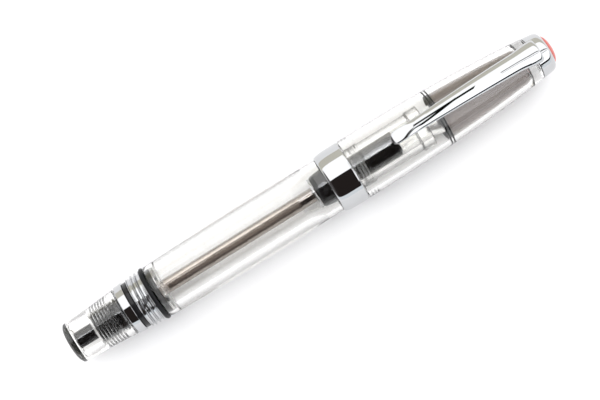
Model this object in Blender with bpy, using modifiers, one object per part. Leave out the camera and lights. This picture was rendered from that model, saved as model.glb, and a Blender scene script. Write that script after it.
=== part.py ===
"""A clear vacuum-filling fountain pen, capped and lying level with its clip on top.

The pen's axis runs along X, the knob at -X and the cap's finial at +X. The origin is under the
middle of the pen, on the surface that it lies on. Lengths below are in millimetres. A station is
a distance along the axis from the knob's rear shoulder towards the cap, and a radius is measured
from the axis. Threads are rings with clearance, so that threaded pieces can slide apart.
"""
import math

import bmesh
import bpy
from mathutils import Matrix, Vector

MM = 0.001
COLLECTION_NAME = "fountain_pen"

# Overall length and the way round pieces are faceted
KNOB_END = -0.6
CAP_END = 144.7
SIDES = 24
BAND_SIDES = 32

# Clearances
SEAT_GAP = 0.3
FIT_GAP = 0.15

# Barrel
BARREL_REAR = 25.2
BARREL_SHOULDER = 77.0
BARREL_FRONT = 84.6
BARREL_RADIUS = 7.7
BARREL_WIDEST = 56.0
BARREL_SWELL = 0.0005
BORE_RADIUS = 4.95
FLARE_START = 68.4
FLARE_END = 72.7
FLARE_RADIUS = 6.2
TENON_RADIUS = 6.55
SOCKET_RADIUS = 5.9

# Filling mechanism at the rear
NECK_REAR = 7.3
NECK_THREAD_END = 14.2
NECK_RADIUS = 4.25
NECK_PITCH = 0.85
BUSH_REAR = 15.9
BUSH_BAND_END = 18.2
BUSH_FRONT = 24.9
BUSH_BAND_RADIUS = 6.9
BUSH_THREAD_RADIUS = 7.25
BUSH_BORE = 5.0
POSTING_RING_STATION = 24.25
POSTING_RING_RADIUS = 7.45
GLAND_RADIUS = 6.25
GLAND_FRONT = 26.6
RETAINER_FRONT = 27.5
ROD_RADIUS = 1.83
ROD_HOLE = 2.0

# Knob
KNOB_FRONT = 15.35
KNOB_RADIUS = 6.55
KNOB_REAR_RADIUS = 5.7
KNOB_SOCKET = 4.85
CORE_RADIUS = 1.7

# Plunger
SEAL_REAR = 73.4
SEAL_FRONT = 79.2
SEAL_RADIUS = 4.85
ROD_FRONT = 80.8

# Section, nib and feed
SECTION_REAR = 80.2
FLANGE_REAR = 85.0
FLANGE_FRONT = 88.3
SECTION_FRONT = 106.5
FLANGE_RADIUS = 5.6
THREAD_RADIUS = 6.0
GRIP_RADIUS = 5.3
LIP_RADIUS = 5.7
LIP_START = 103.0
HOUSING_REAR = 84.6
HOUSING_FRONT = 97.6
HOUSING_RADIUS = 3.4
FEED_RADIUS = 2.7
FEED_TIP = 126.0
NIB_REAR = 98.0
NIB_SHOULDER = 112.0
NIB_TIP = 131.0
NIB_TAIL_RADIUS = 3.05
NIB_SHEET = 0.25

# Cap
CAP_MOUTH = 77.6
BAND_START = 77.3
BAND_END = 84.5
BAND_RADIUS = 8.44
BAND_EDGE_RADIUS = 7.74
BAND_ROUNDING = 3.6
BAND_BORE = 7.45
CAP_ROOT_RADIUS = 8.38
CAP_TAPER = 2.42
CAP_TAPER_START = 84.0
CAP_TAPER_POWER = 2.5
CAP_WALL = 1.4
CAP_SHOULDER = 138.8
CAP_CAVITY_END = 136.2
CAP_MOUTH_BORE = 6.75
CAP_THREAD_CREST = 6.3
SPIGOT_RADIUS = 4.15
LINER_MOUTH = 111.0
LINER_END = 135.8
LINER_WALL = 0.5
COLLAR_END = 143.2
DISC_RADIUS = 4.0

# Clip
CLIP_TIP = 96.7
CLIP_ROOT = 140.65
CLIP_TIP_WIDTH = 3.0
CLIP_ROOT_WIDTH = 5.6
CLIP_THICKNESS = 0.9
CLIP_LIFT = 1.25
CLIP_CLEARANCE = 0.2

CENTRE = (KNOB_END + CAP_END) / 2
AXIS_HEIGHT = BAND_RADIUS * math.cos(math.pi / BAND_SIDES)

FINISHES = {
    "clear": ((0.93, 0.94, 0.93), 0.04, 0.0),
    "smoke": ((0.42, 0.38, 0.35), 0.12, 0.0),
    "chrome": ((0.86, 0.87, 0.88), 0.06, 1.0),
    "steel": ((0.62, 0.61, 0.60), 0.18, 1.0),
    "black_plastic": ((0.02, 0.02, 0.022), 0.16, 0.0),
    "black_rubber": ((0.025, 0.025, 0.027), 0.5, 0.0),
    "red_resin": ((0.78, 0.12, 0.10), 0.25, 0.0),
}


def clear_scene():
    for item in list(bpy.data.objects):
        bpy.data.objects.remove(item, do_unlink=True)


def new_collection(name):
    collection = bpy.data.collections.new(name)
    bpy.context.scene.collection.children.link(collection)
    return collection


def at_station(station, side=0.0, height=0.0):
    """The world point at a station, with an offset from the pen's axis in millimetres."""
    return Vector(((station - CENTRE) * MM, side * MM, (AXIS_HEIGHT + height) * MM))


def finish_material(node_name, finish):
    colour, roughness, metallic = FINISHES[finish]
    material = bpy.data.materials.new(node_name + "_" + finish)
    material.use_nodes = True
    shader = material.node_tree.nodes["Principled BSDF"]
    shader.inputs["Base Color"].default_value = (*colour, 1.0)
    shader.inputs["Roughness"].default_value = roughness
    shader.inputs["Metallic"].default_value = metallic
    material.diffuse_color = (*colour, 1.0)
    return material


def make_joint_empty(name, station, height, parent=None):
    empty = bpy.data.objects.new(name, None)
    empty.empty_display_size = 5 * MM
    empty.location = at_station(station, 0.0, height)
    bpy.context.scene.collection.objects.link(empty)
    attach(empty, parent)
    return empty


def attach(item, parent):
    """Parent an object to an unrotated joint empty without moving it."""
    if parent is None:
        return
    item.parent = parent
    item.matrix_parent_inverse = Matrix.Translation(parent["world_place"]).inverted()


def place_empty(name, station, height, parent=None):
    empty = make_joint_empty(name, station, height, parent)
    empty["world_place"] = list(empty.location)
    return empty


def finish_object(item, finish, parent):
    PEN.objects.link(item)
    item.data.materials.append(finish_material(item.name, finish))
    item.data.shade_smooth()
    item.data.set_sharp_from_angle(angle=math.radians(35))
    attach(item, parent)
    return item


def turned(name, profile, finish, parent, sides=SIDES):
    """Turn a profile of (station, radius) points about the pen's axis.

    The profile runs down the outer side from the cap end to the knob end, and then back up the
    inner side. A profile that starts and ends on the axis is solid there; any other is a ring.
    """
    origin_station = profile[0][0]
    mesh = bpy.data.meshes.new(name)
    points = [(radius * MM, 0.0, (station - origin_station) * MM) for station, radius in profile]
    edges = [(index, index + 1) for index in range(len(points) - 1)]
    open_on_axis = profile[0][1] == 0.0 and profile[-1][1] == 0.0
    if not open_on_axis:
        edges.append((len(points) - 1, 0))
    mesh.from_pydata(points, edges, [])
    item = bpy.data.objects.new(name, mesh)
    screw = item.modifiers.new("turn", "SCREW")
    screw.axis = "Z"
    screw.steps = sides
    screw.render_steps = sides
    screw.use_merge_vertices = True
    screw.merge_threshold = 0.000005
    screw.use_smooth_shade = True
    item.location = at_station(origin_station)
    facet_down = Matrix.Rotation(math.pi / sides, 4, "Z")
    axis_along_x = Matrix.Rotation(math.pi / 2, 4, "Y")
    item.rotation_euler = (axis_along_x @ facet_down).to_euler()
    return finish_object(item, finish, parent)


def loft(name, rings, finish, parent):
    """Skin closed rings of equal length with quads and close both ends."""
    mesh = bpy.data.meshes.new(name)
    item = bpy.data.objects.new(name, mesh)
    origin = sum((point for point in rings[0]), Vector()) / len(rings[0])
    build = bmesh.new()
    rows = [[build.verts.new(point - origin) for point in ring] for ring in rings]
    count = len(rows[0])
    for first, second in zip(rows, rows[1:]):
        for index in range(count):
            following = (index + 1) % count
            build.faces.new((first[index], first[following], second[following], second[index]))
    build.faces.new(reversed(rows[0]))
    build.faces.new(rows[-1])
    bmesh.ops.recalc_face_normals(build, faces=build.faces)
    build.to_mesh(mesh)
    build.free()
    item.location = origin
    return finish_object(item, finish, parent)


def arc(centre, radii, start, end, steps):
    """Points on an elliptical arc; angles in degrees, 0 towards the cap and 90 outwards."""
    points = []
    for step in range(steps + 1):
        angle = math.radians(start + (end - start) * step / steps)
        points.append((centre[0] + radii[0] * math.cos(angle),
                       centre[1] + radii[1] * math.sin(angle)))
    return points


def ridges(start, end, root, crest, pitch):
    """A row of ring ridges from one station to another, as (station, radius) points."""
    direction = 1 if end > start else -1
    count = int(abs(end - start) / pitch)
    points = []
    for index in range(count):
        foot = start + direction * index * pitch
        points.append((foot, root))
        points.append((foot + direction * pitch / 2, crest))
    points.append((start + direction * count * pitch, root))
    return points


def spread(start, end, count):
    return [start + (end - start) * index / count for index in range(count + 1)]


def ring_profile(station, mean_radius, wire_radius, sides=6):
    """The round section of an O-ring, run so that the ring's faces point out."""
    points = []
    for index in range(sides):
        angle = -2 * math.pi * (index + 0.5) / sides
        points.append((station + wire_radius * math.sin(angle + math.pi / 2),
                       mean_radius + wire_radius * math.cos(angle + math.pi / 2)))
    return points


def barrel_radius(station):
    return BARREL_RADIUS - BARREL_SWELL * (station - BARREL_WIDEST) ** 2


def cap_radius(station):
    along = (station - CAP_TAPER_START) / (CAP_SHOULDER - CAP_TAPER_START)
    return CAP_ROOT_RADIUS - CAP_TAPER * max(along, 0.0) ** CAP_TAPER_POWER


def cap_bore(station):
    return cap_radius(station) - CAP_WALL


# Fixed pieces: barrel, rear bush, seals, section, nib and feed

def make_barrel(parent):
    outer = [(BARREL_FRONT, TENON_RADIUS), (BARREL_SHOULDER, TENON_RADIUS)]
    outer += [(station, barrel_radius(station))
              for station in spread(BARREL_SHOULDER, BARREL_REAR, 8)]
    inner = [(BARREL_REAR, GLAND_RADIUS + FIT_GAP),
             (RETAINER_FRONT + SEAT_GAP, GLAND_RADIUS + FIT_GAP),
             (RETAINER_FRONT + SEAT_GAP, BORE_RADIUS),
             (FLARE_START, BORE_RADIUS),
             (FLARE_END, FLARE_RADIUS),
             (BARREL_SHOULDER, FLARE_RADIUS),
             (BARREL_SHOULDER + 1.0, SOCKET_RADIUS),
             (BARREL_FRONT, SOCKET_RADIUS)]
    turned("barrel", outer + inner, "clear", parent)


def make_mechanism_body(parent):
    """The black core of the filler: knob thread, relief collar and hub, with a hole for the rod."""
    hub_radius = BUSH_BORE - FIT_GAP
    collar_radius = NECK_RADIUS + 0.35
    outer = [(BUSH_FRONT, hub_radius), (BUSH_REAR - SEAT_GAP, hub_radius)]
    outer += [(BUSH_REAR - SEAT_GAP, collar_radius), (NECK_THREAD_END + 0.2, collar_radius)]
    outer += ridges(NECK_THREAD_END, NECK_REAR, NECK_RADIUS - 0.35, NECK_RADIUS, NECK_PITCH)
    inner = [(NECK_REAR, ROD_HOLE), (BUSH_FRONT, ROD_HOLE)]
    turned("mechanism_body", outer + inner, "black_plastic", parent)


def make_rear_bush(parent):
    """The chromed ring behind the barrel: polished band, groove, posting thread, ring groove."""
    groove_radius = BUSH_BAND_RADIUS - 0.5
    ring_floor = POSTING_RING_RADIUS - 1.15
    thread_start = BUSH_BAND_END + 1.7
    outer = [(BUSH_FRONT, 6.9), (BUSH_FRONT - 0.1, ring_floor), (BUSH_FRONT - 1.3, ring_floor)]
    outer += [(BUSH_FRONT - 1.4, BUSH_THREAD_RADIUS - 0.2)]
    outer += ridges(thread_start + 3.6, thread_start, BUSH_THREAD_RADIUS - 0.45,
                    BUSH_THREAD_RADIUS, 1.2)
    outer += [(BUSH_BAND_END + 0.3, groove_radius), (BUSH_BAND_END, BUSH_BAND_RADIUS),
              (BUSH_REAR + 0.1, BUSH_BAND_RADIUS - 0.1), (BUSH_REAR, BUSH_BAND_RADIUS - 0.3)]
    inner = [(BUSH_REAR, BUSH_BORE), (BUSH_FRONT, BUSH_BORE)]
    turned("rear_bush", outer + inner, "chrome", parent)


def make_posting_ring(parent):
    wire = 0.48
    profile = ring_profile(POSTING_RING_STATION - 0.05, POSTING_RING_RADIUS - wire, wire)
    turned("posting_o_ring", profile, "black_rubber", parent)


def make_gland(parent):
    """The black seal holder at the rear of the ink chamber, with a groove for its rod seal."""
    rear = BARREL_REAR + 0.05
    groove = (rear + 0.35, GLAND_FRONT - 0.25)
    profile = [(GLAND_FRONT, GLAND_RADIUS), (rear, GLAND_RADIUS), (rear, ROD_HOLE + 0.02),
               (groove[0], ROD_HOLE + 0.02), (groove[0], ROD_HOLE + 1.0),
               (groove[1], ROD_HOLE + 1.0), (groove[1], ROD_HOLE + 0.02),
               (GLAND_FRONT, ROD_HOLE + 0.02)]
    turned("gland", profile, "black_rubber", parent)
    wire = 0.33
    middle = (groove[0] + groove[1]) / 2
    seal = ring_profile(middle, ROD_HOLE + 0.12 + wire, wire)
    turned("rod_o_ring", seal, "black_rubber", parent)


def make_gland_retainer(parent):
    rear = GLAND_FRONT + 0.15
    radius = GLAND_RADIUS - 0.1
    profile = [(RETAINER_FRONT, radius), (rear, radius), (rear, ROD_HOLE + 0.4),
               (RETAINER_FRONT, ROD_HOLE + 0.8)]
    turned("gland_retainer", profile, "clear", parent)


def make_section(parent):
    """The clear grip: barrel tail, threaded flange, waisted grip and lip, with a stepped bore."""
    tail_radius = SOCKET_RADIUS - FIT_GAP
    socket = HOUSING_RADIUS + FIT_GAP
    outer = [(SECTION_FRONT, LIP_RADIUS - 0.3), (SECTION_FRONT - 0.3, LIP_RADIUS),
             (LIP_START, LIP_RADIUS)]
    waist = (LIP_START + FLANGE_FRONT) / 2
    half_grip = (LIP_START - FLANGE_FRONT) / 2
    for station in spread(LIP_START - 0.3, FLANGE_FRONT + 0.2, 6):
        swell = ((station - waist) / half_grip) ** 4
        outer.append((station, GRIP_RADIUS + 0.2 * swell))
    outer.append((FLANGE_FRONT, FLANGE_RADIUS + 0.1))
    outer += ridges(FLANGE_FRONT - 0.4, FLANGE_REAR + 0.2, FLANGE_RADIUS, THREAD_RADIUS, 0.9)
    outer += [(FLANGE_REAR, tail_radius - 0.2), (83.9, tail_radius - 0.2), (83.9, tail_radius - 0.7),
              (82.7, tail_radius - 0.7), (82.7, tail_radius), (SECTION_REAR, tail_radius)]
    inner = [(SECTION_REAR, SEAL_RADIUS - 0.3), (82.4, ROD_HOLE), (HOUSING_REAR - SEAT_GAP, ROD_HOLE),
             (HOUSING_REAR - SEAT_GAP, socket), (SECTION_FRONT, socket)]
    turned("section", outer + inner, "clear", parent)


def make_section_ring(parent):
    wire = 0.36
    profile = ring_profile(83.3, SOCKET_RADIUS - 0.08 - wire, wire)
    turned("section_o_ring", profile, "black_rubber", parent)


def make_nib_housing(parent):
    bore = FEED_RADIUS + FIT_GAP
    profile = [(HOUSING_FRONT, HOUSING_RADIUS - 0.1), (HOUSING_FRONT - 0.2, HOUSING_RADIUS),
               (HOUSING_REAR, HOUSING_RADIUS), (HOUSING_REAR, bore), (HOUSING_FRONT, bore)]
    turned("nib_housing", profile, "black_plastic", parent)


def feed_ring(station, radius, height):
    points = []
    for index in range(16):
        angle = 2 * math.pi * (index + 0.5) / 16
        points.append(at_station(station, radius * math.sin(angle),
                                 height + radius * math.cos(angle)))
    return points


def nib_top(station):
    """Height of the nib's crest above the axis: level over the section, then bowing down."""
    drop = max(station - SECTION_FRONT, 0.0) / (NIB_TIP - SECTION_FRONT)
    return NIB_TAIL_RADIUS - 1.7 * drop ** 1.8


def make_feed(parent):
    """The black ink feed: a plain shank, a finned collector and a tapering tongue."""
    rings = [feed_ring(HOUSING_REAR + 0.2, FEED_RADIUS, 0.0), feed_ring(SECTION_FRONT, FEED_RADIUS, 0.0)]
    fin_start = SECTION_FRONT + 1.2
    for index in range(5):
        foot = fin_start + index * 1.6
        rings.append(feed_ring(foot, FEED_RADIUS - 0.45, -0.3))
        rings.append(feed_ring(foot + 0.3, FEED_RADIUS - 0.1, -0.1))
        rings.append(feed_ring(foot + 0.9, FEED_RADIUS - 0.1, -0.1))
        rings.append(feed_ring(foot + 1.2, FEED_RADIUS - 0.45, -0.3))
    tongue_start = fin_start + 8.2
    for station in spread(tongue_start, FEED_TIP, 4):
        along = (station - tongue_start) / (FEED_TIP - tongue_start)
        radius = (FEED_RADIUS - 0.5) * (1 - along) + 0.4 * along
        rings.append(feed_ring(station, radius, nib_top(station) - NIB_SHEET - 0.3 - radius))
    loft("feed", rings, "black_plastic", parent)


def nib_half_width(station):
    """Half the nib's width: straight tail, shoulders, then a curved taper to the point."""
    tail = NIB_TAIL_RADIUS
    if station <= SECTION_FRONT:
        return tail
    if station <= NIB_SHOULDER:
        along = (station - SECTION_FRONT) / (NIB_SHOULDER - SECTION_FRONT)
        return tail + (4.3 - tail) * math.sin(along * math.pi / 2)
    along = (station - NIB_SHOULDER) / (NIB_TIP - NIB_SHOULDER)
    return 0.35 + 3.95 * (1 - along ** 1.15)


def nib_row(station, columns):
    """One cross row of the nib: an arc that wraps the feed at the tail and flattens forward."""
    width = nib_half_width(station)
    opened = max(station - SECTION_FRONT, 0.0) / (NIB_SHOULDER - SECTION_FRONT)
    opened = min(opened, 1.0)
    radius = NIB_TAIL_RADIUS + (5.2 - NIB_TAIL_RADIUS) * opened
    wrap = math.asin(min(width / radius, 1.0))
    row = []
    for column in range(columns + 1):
        angle = wrap * (2 * column / columns - 1)
        row.append(at_station(station, radius * math.sin(angle),
                              nib_top(station) - radius * (1 - math.cos(angle))))
    return row


def make_nib(parent):
    """The nib is a thin sheet over the feed, thickened outwards."""
    columns = 8
    stations = [NIB_REAR, SECTION_FRONT] + spread(SECTION_FRONT + 1.5, NIB_TIP, 12)
    rows = [nib_row(station, columns) for station in stations]
    origin = rows[0][columns // 2]
    mesh = bpy.data.meshes.new("nib")
    item = bpy.data.objects.new("nib", mesh)
    build = bmesh.new()
    grid = [[build.verts.new(point - origin) for point in row] for row in rows]
    for first, second in zip(grid, grid[1:]):
        for column in range(columns):
            build.faces.new((first[column], second[column], second[column + 1], first[column + 1]))
    build.to_mesh(mesh)
    build.free()
    item.location = origin
    sheet = item.modifiers.new("sheet", "SOLIDIFY")
    sheet.thickness = NIB_SHEET * MM
    sheet.offset = 1.0 if mesh.polygons[0].normal.z > 0 else -1.0
    finish_object(item, "steel", parent)


# Plunger and knob

def make_plunger(parent):
    rod = [(ROD_FRONT, 0.0), (ROD_FRONT, ROD_RADIUS - 0.5), (SEAL_FRONT + 0.4, ROD_RADIUS - 0.5),
           (SEAL_REAR - 1.1, ROD_RADIUS - 0.5), (SEAL_REAR - 1.1, ROD_RADIUS),
           (NECK_REAR, ROD_RADIUS), (NECK_REAR, 0.0)]
    turned("plunger_rod", rod, "steel", parent)
    hole = ROD_RADIUS - 0.5 + FIT_GAP
    washer = [(SEAL_REAR - 0.15, 4.2), (SEAL_REAR - 0.75, 4.2), (SEAL_REAR - 0.75, hole),
              (SEAL_REAR - 0.15, hole)]
    turned("piston_washer", washer, "chrome", parent)
    seal = [(SEAL_FRONT, 3.9), (SEAL_FRONT - 1.0, SEAL_RADIUS), (SEAL_FRONT - 1.9, SEAL_RADIUS),
            (SEAL_REAR + 0.3, SEAL_RADIUS - 0.45), (SEAL_REAR, SEAL_RADIUS - 0.7),
            (SEAL_REAR, hole), (SEAL_FRONT, hole)]
    turned("piston_seal", seal, "black_rubber", parent)
    nut = [(SEAL_FRONT + 1.0, 2.4), (SEAL_FRONT + 0.15, 2.8), (SEAL_FRONT + 0.15, hole),
           (SEAL_FRONT + 1.0, hole)]
    turned("piston_nut", nut, "steel", parent, sides=6 * 4)


def make_knob(parent):
    """The clear blind knob: a threaded socket for the neck and a hole for the rod's fixing."""
    core_hole = CORE_RADIUS + FIT_GAP
    outer = [(KNOB_FRONT, KNOB_RADIUS - 0.1), (KNOB_FRONT - 0.2, KNOB_RADIUS), (7.0, 5.95),
             (1.0, KNOB_REAR_RADIUS)]
    outer += arc((0.2, 4.7), (0.8, 0.95), 90, 180, 4)
    outer.append((KNOB_END, 0.0))
    inner = [(1.4, 0.0), (1.4, core_hole), (NECK_REAR - SEAT_GAP, core_hole),
             (NECK_REAR - SEAT_GAP + 0.1, KNOB_SOCKET), (KNOB_FRONT, KNOB_SOCKET)]
    turned("knob_shell", outer + inner, "clear", parent)
    core = [(NECK_REAR - SEAT_GAP, 0.0), (NECK_REAR - SEAT_GAP, CORE_RADIUS), (1.7, CORE_RADIUS),
            (1.55, CORE_RADIUS - 0.15), (1.55, 0.0)]
    turned("knob_core", core, "black_plastic", parent)


# Cap, liner and clip

def make_cap_tube(parent):
    """The clear cap: a tapering blind tube with a thread in its mouth and a spigot at its end."""
    band_seat = BAND_BORE - FIT_GAP
    outer = [(142.4, 0.0), (142.4, SPIGOT_RADIUS), (CAP_SHOULDER, SPIGOT_RADIUS)]
    outer += [(station, cap_radius(station))
              for station in spread(CAP_SHOULDER, BAND_END + 0.2, 9)]
    outer += [(BAND_END + 0.2, band_seat), (CAP_MOUTH, band_seat), (CAP_MOUTH, CAP_MOUTH_BORE)]
    inner = ridges(FLANGE_REAR, FLANGE_REAR + 2.8, CAP_MOUTH_BORE, CAP_THREAD_CREST, 0.9)
    inner += [(station, cap_bore(station))
              for station in spread(FLANGE_FRONT, CAP_CAVITY_END, 8)]
    inner.append((CAP_CAVITY_END, 0.0))
    turned("cap_tube", outer + inner, "clear", parent)


def make_cap_band(parent):
    outer = [(BAND_END, BAND_RADIUS - 0.2), (BAND_END - 0.2, BAND_RADIUS)]
    outer += arc((BAND_START + BAND_ROUNDING, BAND_EDGE_RADIUS),
                 (BAND_ROUNDING, BAND_RADIUS - BAND_EDGE_RADIUS), 90, 180, 5)
    inner = [(BAND_START, BAND_BORE), (BAND_END, BAND_BORE)]
    turned("cap_band", outer + inner, "chrome", parent, sides=BAND_SIDES)


def make_clip_collar(parent):
    start = CAP_SHOULDER + 0.15
    bore = SPIGOT_RADIUS + FIT_GAP
    outer = [(COLLAR_END, bore + 0.4), (COLLAR_END - 0.5, 5.3), (start, cap_radius(start))]
    inner = [(start, bore), (COLLAR_END, bore)]
    turned("clip_collar", outer + inner, "chrome", parent)


def make_finial_disc(parent):
    start = COLLAR_END - 0.5
    dome = arc((start, 0.0), (CAP_END - start, DISC_RADIUS), 0, 72, 5)
    profile = dome + [(start + 0.3, DISC_RADIUS), (start, DISC_RADIUS), (start, 0.0)]
    profile[0] = (CAP_END, 0.0)
    turned("finial_disc", profile, "red_resin", parent)


def make_liner(parent):
    def outside(station):
        return cap_bore(station) - FIT_GAP

    stations = spread(LINER_END - 1.0, LINER_MOUTH, 6)
    outer = [(LINER_END, 0.0), (LINER_END, outside(LINER_END) - 0.5)]
    outer += [(station, outside(station)) for station in stations]
    inner = [(station, outside(station) - LINER_WALL) for station in reversed(stations)]
    inner += [(LINER_END - 0.5, outside(LINER_END) - 1.0), (LINER_END - 0.5, 0.0)]
    turned("inner_cap", outer + inner, "smoke", parent)
    wire = 0.27
    ring_station = LINER_MOUTH - 0.7
    profile = ring_profile(ring_station, cap_bore(ring_station) - 0.1 - wire, wire)
    turned("inner_cap_o_ring", profile, "black_rubber", parent)


def clip_section(station, columns=6):
    """A crowned strip across the clip, standing clear of the cap's taper below it."""
    along = (station - CLIP_TIP) / (CLIP_ROOT - CLIP_TIP)
    tip_round = math.sqrt(1 - max(1 - (station - CLIP_TIP) / 1.4, 0.0) ** 2)
    widening = CLIP_TIP_WIDTH + (CLIP_ROOT_WIDTH - CLIP_TIP_WIDTH) * along ** 0.8
    half_width = max(widening / 2 * tip_round, 0.5)
    arch = math.sin(math.pi * min(max(along, 0.02), 0.97)) ** 0.6
    underside = cap_radius(station) + CLIP_CLEARANCE + CLIP_LIFT * arch
    lower = []
    upper = []
    for column in range(columns + 1):
        side = half_width * (2 * column / columns - 1)
        hollow = cap_radius(station) - math.sqrt(cap_radius(station) ** 2 - side ** 2)
        crown = math.cos(math.pi / 2 * (side / half_width) * 0.9)
        lower.append(at_station(station, side, underside - hollow))
        upper.append(at_station(station, side, underside - hollow + 0.3
                                + (CLIP_THICKNESS - 0.3) * crown))
    return lower + list(reversed(upper))


def make_clip(parent):
    stations = [CLIP_TIP, CLIP_TIP + 0.35, CLIP_TIP + 0.9]
    stations += spread(CLIP_TIP + 1.8, CLIP_ROOT, 18)
    loft("clip", [clip_section(station) for station in stations], "chrome", parent)


clear_scene()
PEN = new_collection(COLLECTION_NAME)

pen_body = place_empty("pen_body", CENTRE, 0.0)
plunger_axis = place_empty("plunger_axis", NECK_REAR, 0.0, pen_body)
knob_axis = place_empty("knob_axis", KNOB_END, 0.0, plunger_axis)
liner_axis = place_empty("liner_axis", LINER_MOUTH, 0.0, pen_body)
cap_axis = place_empty("cap_axis", CAP_MOUTH, 0.0, liner_axis)
clip_axis = place_empty("clip_axis", CLIP_ROOT, cap_radius(CLIP_ROOT) + CLIP_CLEARANCE, cap_axis)

make_barrel(pen_body)
make_mechanism_body(pen_body)
make_rear_bush(pen_body)
make_posting_ring(pen_body)
make_gland(pen_body)
make_gland_retainer(pen_body)
make_section(pen_body)
make_section_ring(pen_body)
make_nib_housing(pen_body)
make_feed(pen_body)
make_nib(pen_body)
make_plunger(plunger_axis)
make_knob(knob_axis)
make_liner(liner_axis)
make_cap_tube(cap_axis)
make_cap_band(cap_axis)
make_clip_collar(cap_axis)
make_finial_disc(cap_axis)
make_clip(clip_axis)
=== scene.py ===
"""The looks of a clear vacuum-filling fountain pen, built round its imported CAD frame.

The pen's axis runs along X, with the knob at -X, the cap's finial at +X and the clip on top.
Lengths below are in millimetres. A station is a distance along the axis from the knob's rear
shoulder towards the cap, and a radius is measured from the axis.
"""
import math

import bmesh
import bpy
from mathutils import Matrix, Vector


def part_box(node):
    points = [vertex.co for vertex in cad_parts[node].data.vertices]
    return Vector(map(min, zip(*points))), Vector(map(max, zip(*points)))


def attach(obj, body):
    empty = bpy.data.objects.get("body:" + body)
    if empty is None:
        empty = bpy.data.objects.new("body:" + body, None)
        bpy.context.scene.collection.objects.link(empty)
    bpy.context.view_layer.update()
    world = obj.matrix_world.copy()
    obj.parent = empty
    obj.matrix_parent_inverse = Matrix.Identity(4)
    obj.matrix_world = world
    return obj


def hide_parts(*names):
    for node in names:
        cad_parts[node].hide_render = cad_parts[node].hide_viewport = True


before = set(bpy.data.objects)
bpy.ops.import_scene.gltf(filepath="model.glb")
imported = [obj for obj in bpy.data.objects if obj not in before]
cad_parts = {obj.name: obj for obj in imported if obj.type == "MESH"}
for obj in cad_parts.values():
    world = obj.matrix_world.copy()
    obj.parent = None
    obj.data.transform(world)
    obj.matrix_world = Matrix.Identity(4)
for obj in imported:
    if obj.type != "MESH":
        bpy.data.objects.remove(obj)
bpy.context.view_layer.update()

MM = 0.001
SEGMENTS = 96
FINE_SEGMENTS = 128
TINY = 1e-6
SHARP_EDGE = math.radians(40)
SHALLOW = math.radians(18)

# The frame fixes the axis, and where the stations start
KNOB_END = -0.6
AXIS = (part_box("cap_band")[0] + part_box("cap_band")[1]) / 2
REAR_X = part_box("knob_shell")[0].x

# Radii that several pieces share, and the threads' pitches
KNOB_SOCKET = 4.85
ROD = 1.97
BARREL_BORE = 4.95
SLEEVE = 3.5
CAP_MOUTH = 6.97
KNOB_PITCH = 0.85
POSTING_PITCH = 1.2
CAP_PITCH = 0.9

# The nib: its heel, where it starts to open, its shoulder and its point, and its heel's radius
NIB_HEEL = 98.0
NIB_BEND = 106.5
NIB_SHOULDER = 112.0
NIB_POINT = 131.0
NIB_RADIUS = 3.05

# The nib's sheet: its thickness, its columns as shares from the slit to the edge, and its
# breather hole, which the columns up to the last share named here run round
NIB_THICKNESS = 0.24
NIB_COLUMNS = [0.012, 0.02, 0.12, 0.25, 0.45, 0.65, 0.85, 0.97, 1.0]
HOLE_MIDDLE = 116.2
HOLE_HALF = 0.9
HOLE_WIDTH = 0.62
HOLE_COLUMN = 0.12

# The feed: its comb of fins, and where its tongue ends
FIN_START = 107.4
FIN_COUNT = 11
FIN_PITCH = 0.78
FEED_END = 126.0

# The clip, with its crest measured from the axis, its arch across, and its slight slew
CLIP_TIP = 96.3
CLIP_ROOT = 140.65
CLIP_SPOON_END = 103.0
CLIP_CREST = 10.1
CLIP_FLAT = math.radians(9.0)
CLIP_ARCH = math.radians(47.0)
CLIP_DEPTH = 1.0
CLIP_SKEW = math.radians(-1.0)

# The camera is straight above the pen, which it sees rolled a little about its axis
CAMERA_STATION = 68.9
CAMERA_ACROSS = -0.64
CAMERA_HEIGHT = 400.0
CAMERA_LENS = 93.0
PEN_ROLL = math.radians(12.0)
PEN_SLANT = math.radians(31.85)


# Places, meshes and modifiers

def place(station, side=0.0, height=0.0):
    """The world point at a station, with an offset from the axis in millimetres."""
    return Vector((REAR_X + (station - KNOB_END) * MM, AXIS.y + side * MM, AXIS.z + height * MM))


def spread(start, end, count):
    """Evenly spaced values from the start to the end, count steps apart."""
    return [start + (end - start) * index / count for index in range(count + 1)]


def rounded_corner(before, corner, after, radius, steps):
    """The short curve that replaces a sharp corner; a shallow corner stays as it is."""
    back = Vector(before) - Vector(corner)
    ahead = Vector(after) - Vector(corner)
    if back.length < TINY or ahead.length < TINY:
        return [corner]
    if math.pi - back.angle(ahead) < SHALLOW:
        return [corner]
    reach = min(radius, back.length * 0.45, ahead.length * 0.45)
    first = Vector(corner) + back.normalized() * reach
    last = Vector(corner) + ahead.normalized() * reach
    curve = []
    for step in range(steps + 1):
        share = step / steps
        point = (first * (1 - share) ** 2 + Vector(corner) * 2 * share * (1 - share)
                 + last * share ** 2)
        curve.append(tuple(point))
    return curve


def eased(points, radius=0.12, steps=3):
    """Round each sharp corner of a profile with a short curve."""
    result = [points[0]]
    for before, corner, after in zip(points, points[1:], points[2:]):
        result.extend(rounded_corner(before, corner, after, radius, steps))
    result.append(points[-1])
    return result


def dress_piece(item, build, material, body, nodes):
    """Give a piece its mesh, material and body, and hide the CAD nodes it replaces."""
    build.to_mesh(item.data)
    build.free()
    item.data.materials.append(material)
    item.data.shade_smooth()
    item.data.set_sharp_from_angle(angle=SHARP_EDGE)
    bpy.context.scene.collection.objects.link(item)
    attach(item, body)
    if nodes:
        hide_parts(*nodes)


def finish_piece(item, build, material, body, nodes):
    bmesh.ops.recalc_face_normals(build, faces=build.faces)
    dress_piece(item, build, material, body, nodes)


def new_item(name):
    return bpy.data.objects.new(name, bpy.data.meshes.new(name))


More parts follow.
